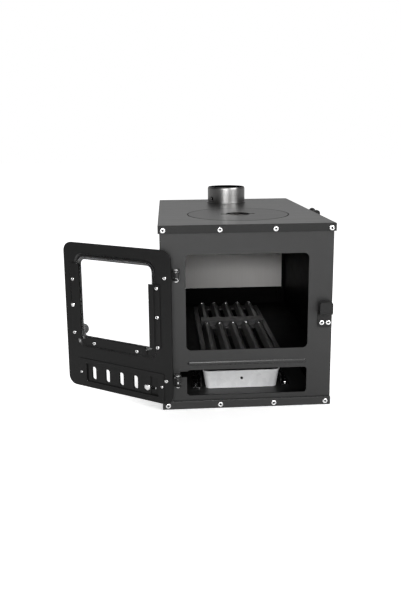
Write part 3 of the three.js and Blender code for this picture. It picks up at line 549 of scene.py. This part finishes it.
def piece(name, shape, materials, body, replaces=(), place=Matrix()):
    """Makes the shape an object that rides on a body, with even shading over its flats."""
    bmesh.ops.transform(shape, matrix=place, verts=shape.verts)
    mesh = bpy.data.meshes.new(name)
    shape.to_mesh(mesh)
    shape.free()
    if "custom_normal" in mesh.attributes:
        mesh.attributes.remove(mesh.attributes["custom_normal"])
    for material in materials:
        mesh.materials.append(material)
    mesh.polygons.foreach_set("use_smooth", [True] * len(mesh.polygons))
    mesh.set_sharp_from_angle(angle=SMOOTH)
    made = bpy.data.objects.new(name, mesh)
    bpy.context.scene.collection.objects.link(made)
    even = made.modifiers.new("even_shading", "WEIGHTED_NORMAL")
    even.keep_sharp = True
    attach(made, body)
    if replaces:
        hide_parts(*replaces)


def body_of(name):
    """The body that a CAD node rides on."""
    return nodes[name]["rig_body"]


def finished(name, shape, material=None, place=Matrix(), inside=None):
    """Stands for a CAD node with the finer shape made from it; inside is the shape's second finish."""
    slot = slot_of[name]
    materials = [material or finishes[slot]] + ([inside] if inside else [])
    piece(f"{name}_finished", shape, materials, body_of(name), [name], place)


def outer_side(name, way):
    """Where a CAD node ends across, on its left (way -1) or on its right (way 1)."""
    low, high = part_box(name)
    return high.x if way > 0 else low.x


# Fasteners


def screw_mesh(name, radius, rise, socket, depth):
    """A button head on its seat at the origin, its axis along Z, with a hexagon socket."""
    shape = bmesh.new()
    side = rise * SIDE_SHARE
    top = socket * DOME_SHARE
    profile = [(radius, 0), (radius, side)]
    for i in range(1, DOME_STEPS + 1):
        turn = math.pi / 2 * i / DOME_STEPS
        profile.append((top + (radius - top) * math.cos(turn), side + (rise - side) * math.sin(turn)))
    profile.append((socket * MOUTH_SHARE, rise))
    profile += [(socket, rise - socket * CHAMFER_SHARE), (socket, rise - depth)]
    verts = [shape.verts.new((r, 0, z)) for r, z in profile]
    edges = [shape.edges.new(pair) for pair in zip(verts, verts[1:])]
    bmesh.ops.spin(shape, geom=verts + edges, axis=(0, 0, 1), cent=(0, 0, 0), dvec=(0, 0, 0),
                   angle=math.tau, steps=SCREW_SIDES, use_merge=True)
    bmesh.ops.remove_doubles(shape, verts=shape.verts, dist=MERGE)
    bmesh.ops.holes_fill(shape, edges=shape.edges, sides=0)
    for vertex in shape.verts:
        if math.hypot(vertex.co.x, vertex.co.y) < socket * SOCKET_SHARE:
            wedge = math.atan2(vertex.co.y, vertex.co.x) % (math.pi / 3) - math.pi / 6
            reach = math.cos(math.pi / 6) / math.cos(wedge)
            vertex.co.x *= reach
            vertex.co.y *= reach
    bmesh.ops.recalc_face_normals(shape, faces=shape.faces)
    # The faces down in the socket take the second material, painted shade
    for face in shape.faces:
        inside = max(math.hypot(v.co.x, v.co.y) for v in face.verts) < socket * SOCKET_SHARE
        face.material_index = 1 if inside and face.calc_center_median().z > 0 else 0
    mesh = bpy.data.meshes.new(name)
    shape.to_mesh(mesh)
    shape.free()
    return mesh


def nut_mesh(name, radius, rise, tip):
    """A hexagon nut on its seat with the screw's end standing out of it."""
    shape = bmesh.new()
    nut = bmesh.ops.create_cone(shape, cap_ends=True, segments=6, radius1=radius, radius2=radius, depth=rise)
    bmesh.ops.translate(shape, vec=(0, 0, rise / 2), verts=nut["verts"])
    round_edges(shape, radius * NUT_EDGE_SHARE)
    grown = len(shape.verts)
    bmesh.ops.create_cone(shape, cap_ends=True, segments=THREAD_SIDES, radius1=radius * THREAD_FOOT_SHARE,
                          radius2=radius * THREAD_TIP_SHARE, depth=tip)
    shape.verts.ensure_lookup_table()
    # Known fault: the bevel leaves free places that new corners fill, so the slice also takes some of the
    # nut's corners and leaves out some of the thread's, and the nut comes out dented
    bmesh.ops.translate(shape, vec=(0, 0, rise + tip / 2 - MERGE), verts=shape.verts[grown:])
    mesh = bpy.data.meshes.new(name)
    shape.to_mesh(mesh)
    shape.free()
    return mesh


def add_copy(shape, mesh, place):
    """Adds a fastener's mesh to a shape, at a place."""
    grown = len(shape.verts)
    shape.from_mesh(mesh)
    shape.verts.ensure_lookup_table()
    bmesh.ops.transform(shape, matrix=place, verts=shape.verts[grown:])


def seat(point, axis, turn):
    """The place of a fastener whose head points along an axis, turned about it."""
    aimed = Vector(axis).to_track_quat("Z", "Y").to_matrix().to_4x4()
    return Matrix.Translation(Vector(point)) @ aimed @ Matrix.Rotation(turn, 4, "Z")


def fasteners(name, mesh, places, body, replaces=()):
    """A set of like fasteners on one body, each turned a little differently."""
    shape = bmesh.new()
    for i, (point, axis) in enumerate(places):
        add_copy(shape, mesh, seat(point, axis, SCREW_TURN * i))
    piece(name, shape, [steel, socket_shade], body, replaces)


lip_screw = screw_mesh("lip_screw", **LIP_SCREW)
door_screw = screw_mesh("door_screw", **DOOR_SCREW)
small_screw = screw_mesh("small_screw", **SMALL_SCREW)
leaf_nut = nut_mesh("leaf_nut", **LEAF_NUT)
door_nut = nut_mesh("door_nut", **DOOR_NUT)


# Casing


def fold_edges(shape, name, level, width):
    """Rounds the folds between a pan's plate, whose outer face lies at the level, and its lips."""
    low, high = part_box(name)

    def on_fold(point):
        at_side = min(point.x - low.x, high.x - point.x) < CUT_EDGE
        at_end = min(point.y - low.y, high.y - point.y) < CUT_EDGE
        return (at_side or at_end) and abs(point.z - level) < CUT_EDGE

    round_edges(shape, width, 4, on_fold)


def second_finish(shape, chosen):
    """Gives the faces whose normal and middle are chosen the piece's second finish."""
    shape.normal_update()
    for face in shape.faces:
        face.material_index = int(chosen(face.normal, face.calc_center_median()))


def on_bend(normal, centre):
    """True on the bends and pressed flanks of a sheet, which take a lighter, glossier paint as painted
    highlight.
    """
    return max(abs(part) for part in normal) < UNBENT


def make_top_pan():
    """The top pan: rolled plate over lips sprayed in a darker paint as painted shade, with a rounded hole
    for the lid.
    """
    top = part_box("top_pan")[1].z
    lid_low, lid_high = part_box("hob_lid")
    middle = (lid_low + lid_high) / 2
    reach = (lid_high.x - lid_low.x) / 2 + LID_GROOVE

    def on_lid_hole(point):
        return point.z > top - CUT_EDGE and (point - middle).xy.length < reach

    shape = cad_shape("top_pan")
    fold_edges(shape, "top_pan", top, FOLD)
    round_edges(shape, RIM, 3, on_lid_hole)
    round_edges(shape, CUT_EDGE)
    second_finish(shape, lambda normal, centre: normal.z < FACING)
    finished("top_pan", shape, inside=shaded_lip_paint)


def make_base_pan():
    """The base pan, folded up all round, with a softer rim on its front lip."""
    low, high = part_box("base_pan")

    def on_front_rim(point):
        return point.z > high.z - CUT_EDGE and point.y < low.y + BASE_FOLD + RIM

    shape = cad_shape("base_pan")
    fold_edges(shape, "base_pan", low.z, BASE_FOLD)
    round_edges(shape, RIM, 3, on_front_rim)
    round_edges(shape, CUT_EDGE)
    second_finish(shape, on_bend)
    finished("base_pan", shape, inside=bend_highlight_paint)


def broad_face(name):
    """Where the broad front face of a sheet lies along Y, behind anything pressed out of it."""
    shape = cad_shape(name)
    broad = max((f for f in shape.faces if f.normal.y < -ALONG), key=lambda f: f.calc_area())
    face_y = broad.calc_center_median().y
    shape.free()
    return face_y


def round_bead(panel, face_y):
    """Turns the flat crest of the bead pressed in the panel into a full round."""
    proud = [v for v in panel.verts if v.co.y < face_y - CUT_EDGE]
    crest = min(v.co.y for v in proud)
    heights = sorted(v.co.z for v in proud)
    rise = face_y - crest
    flat = (heights[-1] - heights[0]) / 2
    middle = (heights[-1] + heights[0]) / 2
    foot = flat + rise * BEAD_DRAFT

    def on_bead(face):
        """True on the faces of the bead, whose corners all lie near it and not all of them in the flat."""
        near = all(abs(v.co.z - middle) < foot + CUT_EDGE and v.co.y < face_y + MERGE for v in face.verts)
        return near and any(v.co.y < face_y - MERGE for v in face.verts)

    for i in range(1, BEAD_CUTS):
        level = middle - foot + 2 * foot * i / BEAD_CUTS
        faces = [f for f in panel.faces if on_bead(f)]
        edges = {e for f in faces for e in f.edges}
        corners = {v for f in faces for v in f.verts}
        bmesh.ops.bisect_plane(panel, geom=[*corners, *edges, *faces], plane_co=(0, 0, level),
                               plane_no=(0, 0, 1))
    for vertex in panel.verts:
        offset = abs(vertex.co.z - middle)
        if vertex.co.y < face_y - MERGE and offset < foot:
            straight = min(1, (foot - offset) / (foot - flat))
            vertex.co.y = face_y - (face_y - vertex.co.y) * (1 - (offset / foot) ** 2) / straight


def make_front():
    """The front panel, with folded side edges and its pressed bead."""
    low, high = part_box("front_panel")
    face_y = broad_face("front_panel")

    def on_side_fold(point):
        return min(point.x - low.x, high.x - point.x) < CUT_EDGE and point.y < face_y + CUT_EDGE

    panel = cad_shape("front_panel")
    round_bead(panel, face_y)
    round_edges(panel, PANEL_FOLD, 4, on_side_fold, UP)
    round_edges(panel, CUT_EDGE, chosen=lambda point: point.y > face_y - CUT_EDGE)
    second_finish(panel, on_bend)
    finished("front_panel", panel, inside=bend_highlight_paint)


def make_keeper():
    """The keeper, in the darker lip paint as painted shade: rounded ends on its plate and its hook, and a
    soft fold under the hook.
    """
    low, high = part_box("latch_keeper")

    def on_hook_fold(point):
        return point.y < low.y + KEEPER_SHEET and point.z < high.z - KEEPER_CORNER

    shape = cad_shape("latch_keeper")
    round_edges(shape, KEEPER_END, 5, lambda point: point.z < low.z + CUT_EDGE, BACK)
    round_edges(shape, KEEPER_CORNER, 5, lambda point: point.z > high.z - CUT_EDGE, BACK)
    round_edges(shape, KEEPER_FOLD, 4, on_hook_fold, ACROSS)
    round_edges(shape, CUT_EDGE)
    finished("latch_keeper", shape, shaded_lip_paint)


def make_walls():
    """The side walls and the back, folded at their edges, with painted shade on their inner faces."""
    for name, way in (("left_side", -1), ("right_side", 1)):
        side = cad_shape(name)
        outer = outer_side(name, way)
        round_edges(side, FOLD, 4, lambda point: abs(point.x - outer) < CUT_EDGE)
        round_edges(side, CUT_EDGE)
        second_finish(side, lambda normal, centre: normal.x * way < TURNED_OUT)
        finished(name, side, inside=painted_shade)
    back = cad_shape("back_panel")
    round_edges(back, CUT_EDGE)
    second_finish(back, lambda normal, centre: normal.y < -FACING)
    finished("back_panel", back, inside=painted_shade)


def make_lid():
    """The hob lid, its edges rounded, and painted shade on them and underneath for the dark groove round it.
    """
    lid = cad_shape("hob_lid")
    round_edges(lid, RIM, 3)
    second_finish(lid, lambda normal, centre: normal.z < LID_FLAT)
    finished("hob_lid", lid, lid_plate, inside=painted_shade)


def make_collar():
    """The flue collar, with painted shade on the inner face of its wall."""
    low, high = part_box("flue_collar")
    middle = (low + high) / 2
    collar = cad_shape("flue_collar")
    round_edges(collar, CUT_EDGE, 3)
    second_finish(collar, lambda normal, centre: normal.xy.dot((middle - centre).xy) > 0)
    finished("flue_collar", collar, inside=painted_shade)


def make_drawer():
    """The ash drawer, bright outside, with painted shade inside below its rolled rim."""
    low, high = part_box("ash_drawer")
    middle = (low + high) / 2
    drawer = cad_shape("ash_drawer")
    round_edges(drawer, CUT_EDGE)

    # Faces inside the drawer below its rim, which take the painted shade
    def in_drawer_shade(normal, centre):
        inward = normal.xy.dot((middle - centre).xy) > 0
        return centre.z < high.z - DRAWER_RIM and (normal.z > FACING or inward and abs(normal.z) < FACING)

    second_finish(drawer, in_drawer_shade)
    finished("ash_drawer", drawer, inside=dust_and_shade)


def plain_copies(names, width, segments=2, material=None):
    """Finer copies of CAD nodes that need no more than rounded edges."""
    for name in names:
        shape = cad_shape(name)
        round_edges(shape, width, segments)
        finished(name, shape, material)


make_top_pan()
make_base_pan()
make_front()
make_keeper()
make_walls()
make_lid()
make_collar()
make_drawer()
plain_copies(["lid_seat_ring", "rear_liner"], CUT_EDGE)
plain_copies(["drawer_guide_left", "drawer_guide_right"], GUIDE_EDGE, 3, hinge_black)
plain_copies(["hearth_plate"], HEARTH_EDGE, material=hearth_black)
plain_copies(["grate_frame", *GRATE_BARS], BAR_EDGE, 3)
# The side handle and its brackets, in the darker door paint: painted shade
plain_copies(["side_handle_bracket_front", "side_handle_bracket_rear"], BAR_EDGE, 3, shaded_door_paint)
plain_copies(["side_handle"], BAR_EDGE, 3, shaded_door_paint)
plain_copies(["hinge_bracket_lower", "hinge_bracket_upper"], HINGE_EDGE, 3, hinge_black)
plain_copies(["hinge_pin_lower", "hinge_pin_upper"], HINGE_EDGE, 3)


# Door


def make_ball():
    """The latch's ball knob, flat where its rod goes in."""
    low, high = door_box("latch_knob")
    radius = (high.z - low.z) / 2
    middle = (low + high) / 2
    middle.y = low.y + radius
    ball = bmesh.new()
    bmesh.ops.create_uvsphere(ball, u_segments=BALL_SIDES, v_segments=BALL_ROWS, radius=radius)
    bmesh.ops.translate(ball, vec=middle, verts=ball.verts)
    bmesh.ops.bisect_plane(ball, geom=[*ball.verts, *ball.edges, *ball.faces], plane_co=(0, high.y, 0),
                           plane_no=(0, 1, 0), clear_outer=True)
    bmesh.ops.holes_fill(ball, edges=ball.edges, sides=0)
    finished("latch_knob", ball, place=DOOR)


def make_washer():
    """The broad washer under the air knob's grip, which hides the slot that its stem slides in."""
    low, high = door_box("air_knob")
    face_y = door_box("air_slide")[0].y - WASHER_STANDOFF
    shape = bmesh.new()
    bmesh.ops.create_cone(shape, cap_ends=True, segments=WASHER_SIDES, radius1=WASHER_RADIUS,
                          radius2=WASHER_RADIUS, depth=WASHER_SHEET)
    round_edges(shape, WASHER_EDGE)
    upright = Matrix.Rotation(math.pi / 2, 3, "X")
    bmesh.ops.rotate(shape, cent=(0, 0, 0), matrix=upright, verts=shape.verts)
    middle = ((low.x + high.x) / 2, face_y - WASHER_SHEET / 2, (low.z + high.z) / 2)
    bmesh.ops.translate(shape, vec=middle, verts=shape.verts)
    # The washer takes the darker door paint: painted shade
    piece("air_knob_washer", shape, [shaded_door_paint], body_of("air_knob"), place=DOOR)


def make_door_plate():
    """The door plate in the darker door paint as painted shade, its pressed rims rounded, glossier and
    lighter as painted highlight.
    """
    low, high = door_box("door_plate")

    def on_pressing(point):
        return min(point.x - low.x, high.x - point.x, point.z - low.z, high.z - point.z) > DOOR_MARGIN

    plate = cad_shape("door_plate", DOOR)
    round_edges(plate, RIM, 3, on_pressing)
    round_edges(plate, CUT_EDGE)
    second_finish(plate, on_bend)
    finished("door_plate", plate, shaded_door_paint, DOOR, bend_highlight_paint)


def door_copies(names, material=None):
    """Finer copies of the CAD nodes that lie along the door."""
    for name in names:
        shape = cad_shape(name, DOOR)
        round_edges(shape, CUT_EDGE)
        finished(name, shape, material, DOOR)


def make_leaves():
    """The hinge leaves: flats in the door's darker paint as painted shade, edges and knuckles glossy and
    chipped.
    """
    for name in ("hinge_leaf_lower", "hinge_leaf_upper"):
        leaf = cad_shape(name, DOOR)
        round_edges(leaf, CUT_EDGE, 3)
        second_finish(leaf, lambda normal, centre: abs(normal.y) < UNBENT)
        finished(name, leaf, shaded_door_paint, DOOR, hinge_black)


make_ball()
make_washer()
make_door_plate()
# The door's strips, slide, frame, tongue and handle, in the darker door paint: painted shade
door_copies(["glass_strip_near", "glass_strip_far", "glass_strip_low"], shaded_door_paint)
door_copies(["air_slide", "slide_frame", "latch_tongue", "latch_handle"], shaded_door_paint)
door_copies(["air_knob", "latch_spindle", "door_glass", "glass_gasket"])
make_leaves()


# Screws, bolts and nuts


def on_door(points, depth, way):
    """Seats on the door for points in its own frame, at a depth, facing in (way 1) or out (way -1)."""
    turned = DOOR.to_3x3() @ Vector((0, way, 0))
    return [(DOOR @ Vector((x, depth, z)), turned) for x, z in points]


def make_node_screws():
    """A button head for every screw that is a CAD node, facing back or front."""
    for name in [n for n in nodes if "screw" in n]:
        low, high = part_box(name)
        middle = (low + high) / 2
        rear = name.startswith("back")
        seat_y = high.y - LIP_SCREW["rise"] if rear else low.y + LIP_SCREW["rise"]
        axis = (0, 1, 0) if rear else (0, -1, 0)
        fasteners(f"{name}_head", lip_screw, [((middle.x, seat_y, middle.z), axis)], "casing", [name])


def make_lip_screws():
    """The other screws along the back lips, and those of the base pan's side lips."""
    rear_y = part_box("top_pan")[1].y
    top_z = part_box("top_screw_1")[0].z + LIP_SCREW["radius"]
    base_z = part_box("base_screw_5")[0].z + LIP_SCREW["radius"]
    rear = [((x, rear_y, top_z), (0, 1, 0)) for x in REAR_TOP_SCREWS]
    rear += [((x, rear_y, base_z), (0, 1, 0)) for x in REAR_BASE_SCREWS]
    fasteners("rear_lip_screws", lip_screw, rear, "casing")
    walls = []
    for name, way in (("left_side", -1), ("right_side", 1)):
        x = outer_side(name, way)
        walls += [((x, y, base_z + SIDE_SCREW_LIFT), (way, 0, 0)) for y in SIDE_BASE_SCREWS]
    fasteners("side_base_screws", lip_screw, walls, "casing")


def make_door_fasteners():
    """Screws of the glass strips, the hinge leaves and the slide frame inside, and their nuts outside."""
    inner = door_box("door_plate")[1].y
    low_face = door_box("glass_strip_low")[0].y + LOW_STRIP_SHEET
    frame_face = door_box("slide_frame")[1].y
    fasteners("strip_screws", door_screw, on_door(STRIP_SCREWS, inner + STRIP_SHEET, 1), "door")
    fasteners("low_strip_screws", door_screw, on_door(LOW_SCREWS, low_face, 1), "door")
    fasteners("leaf_bolts", door_screw, on_door(LEAF_BOLTS, inner, 1), "door")
    fasteners("slide_frame_screws", small_screw, on_door(FRAME_SCREWS, frame_face, 1), "door")
    fasteners("leaf_nuts", leaf_nut, on_door(LEAF_BOLTS, LEAF_OUTER, -1), "door")
    fasteners("strip_nuts", door_nut, on_door(STRIP_SCREWS, PLATE_OUTER, -1), "door")


def make_inner_fasteners():
    """A bolt at the fastened end of each grate bar, and the nuts that hold the drawer's guides."""
    bolts = []
    for name in GRATE_BARS:
        low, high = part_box(name)
        bolts.append((((low.x + high.x) / 2, high.y - GRATE_BOLT_INSET, high.z), (0, 0, 1)))
    fasteners("grate_bolts", door_screw, bolts, "casing")
    feet = []
    for name, way in (("drawer_guide_left", -1), ("drawer_guide_right", 1)):
        low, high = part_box(name)
        x = outer_side(name, way) - way * GUIDE_SCREW_REACH
        for y in (low.y + GUIDE_SCREW_INSET, high.y - GUIDE_SCREW_INSET):
            feet.append(((x, y, low.z + GUIDE_SHEET), (0, 0, 1)))
    fasteners("guide_screws", leaf_nut, feet, "casing")


def make_handle_screws():
    """A screw through each bracket of the lifting handle."""
    arms = []
    for name in ("side_handle_bracket_front", "side_handle_bracket_rear"):
        low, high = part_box(name)
        arms.append(((low.x + HANDLE_SHEET, (low.y + high.y) / 2, low.z + HANDLE_SCREW_RISE), (1, 0, 0)))
    fasteners("handle_screws", door_screw, arms, "casing")


make_node_screws()
make_lip_screws()
make_door_fasteners()
make_inner_fasteners()
make_handle_screws()
for spare in (lip_screw, door_screw, small_screw, leaf_nut, door_nut):
    bpy.data.meshes.remove(spare)


# Studio


def seen_straight(tree):
    """1 where the camera sees a thing straight or through glass, 0 for light that falls on a surface."""
    outputs = ("Is Camera Ray", "Is Transmission Ray", "Diffuse Depth", "Glossy Depth")
    camera, clear, scattered, mirrored = [tree.node("ShaderNodeLightPath", output=name) for name in outputs]
    straight = (scattered + mirrored).math("LESS_THAN", 0.5)
    return camera.math("MAXIMUM", clear * straight)


def make_floor():
    """A pale floor, pure white to the eye, that still takes the stove's shadow close by."""
    shape = bmesh.new()
    bmesh.ops.create_grid(shape, x_segments=1, y_segments=1, size=FLOOR_REACH)
    mesh = bpy.data.meshes.new("studio_floor")
    shape.to_mesh(mesh)
    shape.free()
    floor = bpy.data.objects.new("studio_floor", mesh)
    floor.location.z = -FLOOR_GAP
    bpy.context.scene.collection.objects.link(floor)
    material, tree, shader = new_finish("studio_floor", {
        "Base Color": grey(FLOOR_COLOUR),
        "Roughness": 0.9,
        "Specular IOR Level": 0,
        "Emission Strength": 1,
    })
    inputs = {0: tree.node("ShaderNodeTexCoord", output="Object"), 1: FLOOR_SHADED}
    away = tree.node("ShaderNodeVectorMath", inputs, output="Value", operation="DISTANCE")
    glow = tree.mix(tree.between(away, *FLOOR_FADE), grey(FLOOR_GLOW), grey(1))
    mirrored = tree.node("ShaderNodeLightPath", output="Is Glossy Ray")
    seen = seen_straight(tree).math("MAXIMUM", mirrored * FLOOR_MIRRORED)
    tree.feed(shader["Emission Color"], tree.mix(seen, grey(0), glow))
    mesh.materials.append(material)


def make_world():
    """Soft room light, white to the eye behind the stove, and dimmer where metal mirrors it."""
    world = bpy.data.worlds.new("studio")
    bpy.context.scene.world = world
    tree = Tree(world)
    tree.tree.nodes.clear()
    output = tree.tree.nodes.new("ShaderNodeOutputWorld")
    mirrored = tree.node("ShaderNodeLightPath", output="Is Glossy Ray")
    direction = tree.node("ShaderNodeTexCoord", output="Generated")
    behind = tree.between(tree.node("ShaderNodeSeparateXYZ", {"Vector": direction}, output="Y"), *ROOM_FADE)
    room = tree.mix(mirrored, grey(ROOM_LIGHT), tree.mix(behind, grey(ROOM_FRONT), grey(ROOM_BEHIND)))
    colour = tree.mix(seen_straight(tree), room, grey(1))
    background = tree.node("ShaderNodeBackground", {"Color": colour, "Strength": 1})
    tree.feed(output.inputs["Surface"], background)


def make_lamp(name, place, aim, size, power):
    """A soft rectangular lamp at a place, turned to its aim."""
    data = bpy.data.lights.new(name, "AREA")
    data.shape = "RECTANGLE"
    data.size, data.size_y = size
    data.energy = power
    lamp = bpy.data.objects.new(name, data)
    lamp.location = place
    lamp.rotation_euler = (Vector(aim) - Vector(place)).to_track_quat("-Z", "Y").to_euler()
    bpy.context.scene.collection.objects.link(lamp)


def make_camera():
    """The camera at the photograph's place, turn and field of view."""
    data = bpy.data.cameras.new("photo_camera")
    data.sensor_width = SENSOR
    data.lens = FOCAL_PIXELS * SENSOR / FRAME_PIXELS
    data.shift_y = (AXIS_PIXEL - FRAME_PIXELS / 2) / FRAME_PIXELS
    data.clip_start = NEAR_LIMIT
    camera = bpy.data.objects.new("photo_camera", data)
    tilt, roll, pan = CAMERA_TURN
    turn = Matrix.Rotation(pan, 4, "Z") @ Matrix.Rotation(tilt, 4, "X") @ Matrix.Rotation(roll, 4, "Y")
    camera.matrix_world = Matrix.Translation(CAMERA_PLACE) @ turn @ Matrix.Rotation(math.pi / 2, 4, "X")
    bpy.context.scene.collection.objects.link(camera)
    bpy.context.scene.camera = camera


make_floor()
make_world()
for lamp in LAMPS:
    make_lamp(*lamp)
make_camera()
bpy.context.scene.view_settings.view_transform = "Standard"
